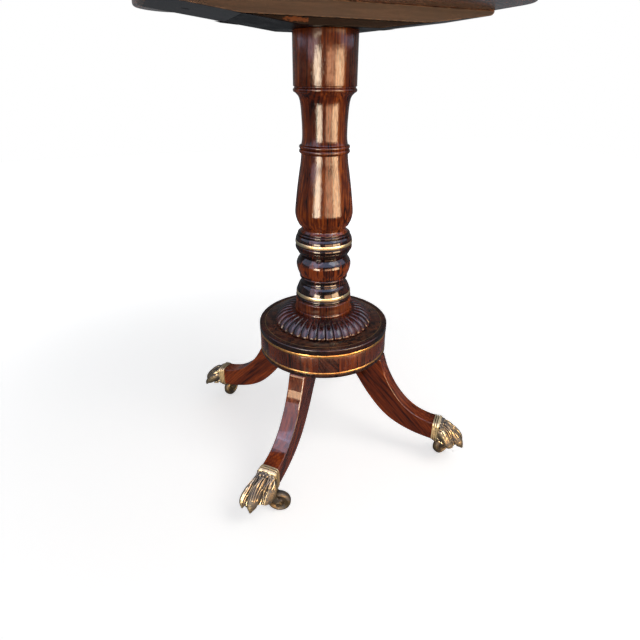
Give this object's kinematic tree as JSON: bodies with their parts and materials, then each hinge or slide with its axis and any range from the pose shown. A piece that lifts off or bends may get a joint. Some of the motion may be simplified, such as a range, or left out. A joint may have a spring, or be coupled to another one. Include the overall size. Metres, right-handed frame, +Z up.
{
  "type": "pedestal occasional table",
  "caption": "Small table with a rectangular top on a turned column, a round platform and scrolled legs ending in brass lion paws on swivel castors.",
  "frame": {"origin": "on the floor, under the middle of the column", "axes": "+Z up, X along the cross bearer and the top's long side, Y along the top's short side"},
  "size_m": [0.48, 0.4228, 0.74],
  "materials": {
    "polished_rosewood": "polished",
    "rosewood_veneer": "polished",
    "raw_board": "matte",
    "hidden_wood": "matte",
    "aged_brass": "satin",
    "steel_screws": "satin"
  },
  "bodies": {
    "root": {"table_top": "polished_rosewood", "cross_bearer": "raw_board", "bearer_shoe": "polished_rosewood", "bearer_screws": "steel_screws", "bearer_plugs": "polished_rosewood", "column_head": "polished_rosewood", "column_vase": "polished_rosewood", "column_knop": "polished_rosewood", "column_foot": "polished_rosewood", "brass_ring_upper": "aged_brass", "brass_ring_lower": "aged_brass", "gadroon_ring": "polished_rosewood", "platform_top": "polished_rosewood", "platform_core": "hidden_wood", "platform_base": "polished_rosewood", "platform_string": "aged_brass", "platform_band_upper": "aged_brass", "platform_band_lower": "aged_brass", "platform_veneer": "rosewood_veneer", "leg_block": "hidden_wood", "block_screws": "steel_screws", "leg_front_left": "polished_rosewood", "paw_front_left": "aged_brass", "castor_pivot_front_left": "aged_brass", "leg_front_right": "polished_rosewood", "paw_front_right": "aged_brass", "castor_pivot_front_right": "aged_brass", "leg_back_right": "polished_rosewood", "paw_back_right": "aged_brass", "castor_pivot_back_right": "aged_brass", "leg_back_left": "polished_rosewood", "paw_back_left": "aged_brass", "castor_pivot_back_left": "aged_brass"},
    "horn_front_left": {"castor_horn_front_left": "aged_brass", "castor_axle_front_left": "aged_brass"},
    "wheel_front_left": {"castor_wheel_front_left": "aged_brass"},
    "horn_front_right": {"castor_horn_front_right": "aged_brass", "castor_axle_front_right": "aged_brass"},
    "wheel_front_right": {"castor_wheel_front_right": "aged_brass"},
    "horn_back_right": {"castor_horn_back_right": "aged_brass", "castor_axle_back_right": "aged_brass"},
    "wheel_back_right": {"castor_wheel_back_right": "aged_brass"},
    "horn_back_left": {"castor_horn_back_left": "aged_brass", "castor_axle_back_left": "aged_brass"},
    "wheel_back_left": {"castor_wheel_back_left": "aged_brass"}
  },
  "joints": [
    {"name": "swivel_front_left", "type": "hinge", "parent": "root", "child": "horn_front_left", "pos_m": [-0.16264, -0.16264, 0.041], "axis": [0, 0, 1], "continuous": true},
    {"name": "roll_front_left", "type": "hinge", "parent": "horn_front_left", "child": "wheel_front_left", "pos_m": [-0.14723, -0.16982, 0.019], "axis": [0.4226, 0.9063, 0], "continuous": true},
    {"name": "swivel_front_right", "type": "hinge", "parent": "root", "child": "horn_front_right", "pos_m": [0.16264, -0.16264, 0.041], "axis": [0, 0, 1], "continuous": true},
    {"name": "roll_front_right", "type": "hinge", "parent": "horn_front_right", "child": "wheel_front_right", "pos_m": [0.17926, -0.1591, 0.019], "axis": [-0.2079, 0.9781, 0], "continuous": true},
    {"name": "swivel_back_right", "type": "hinge", "parent": "root", "child": "horn_back_right", "pos_m": [0.16264, 0.16264, 0.041], "axis": [0, 0, 1], "continuous": true},
    {"name": "roll_back_right", "type": "hinge", "parent": "horn_back_right", "child": "wheel_back_right", "pos_m": [0.1784, 0.169, 0.019], "axis": [-0.3746, 0.9272, 0], "continuous": true},
    {"name": "swivel_back_left", "type": "hinge", "parent": "root", "child": "horn_back_left", "pos_m": [-0.16264, 0.16264, 0.041], "axis": [0, 0, 1], "continuous": true},
    {"name": "roll_back_left", "type": "hinge", "parent": "horn_back_left", "child": "wheel_back_left", "pos_m": [-0.14961, 0.17356, 0.019], "axis": [-0.6428, 0.766, 0], "continuous": true}
  ]
}
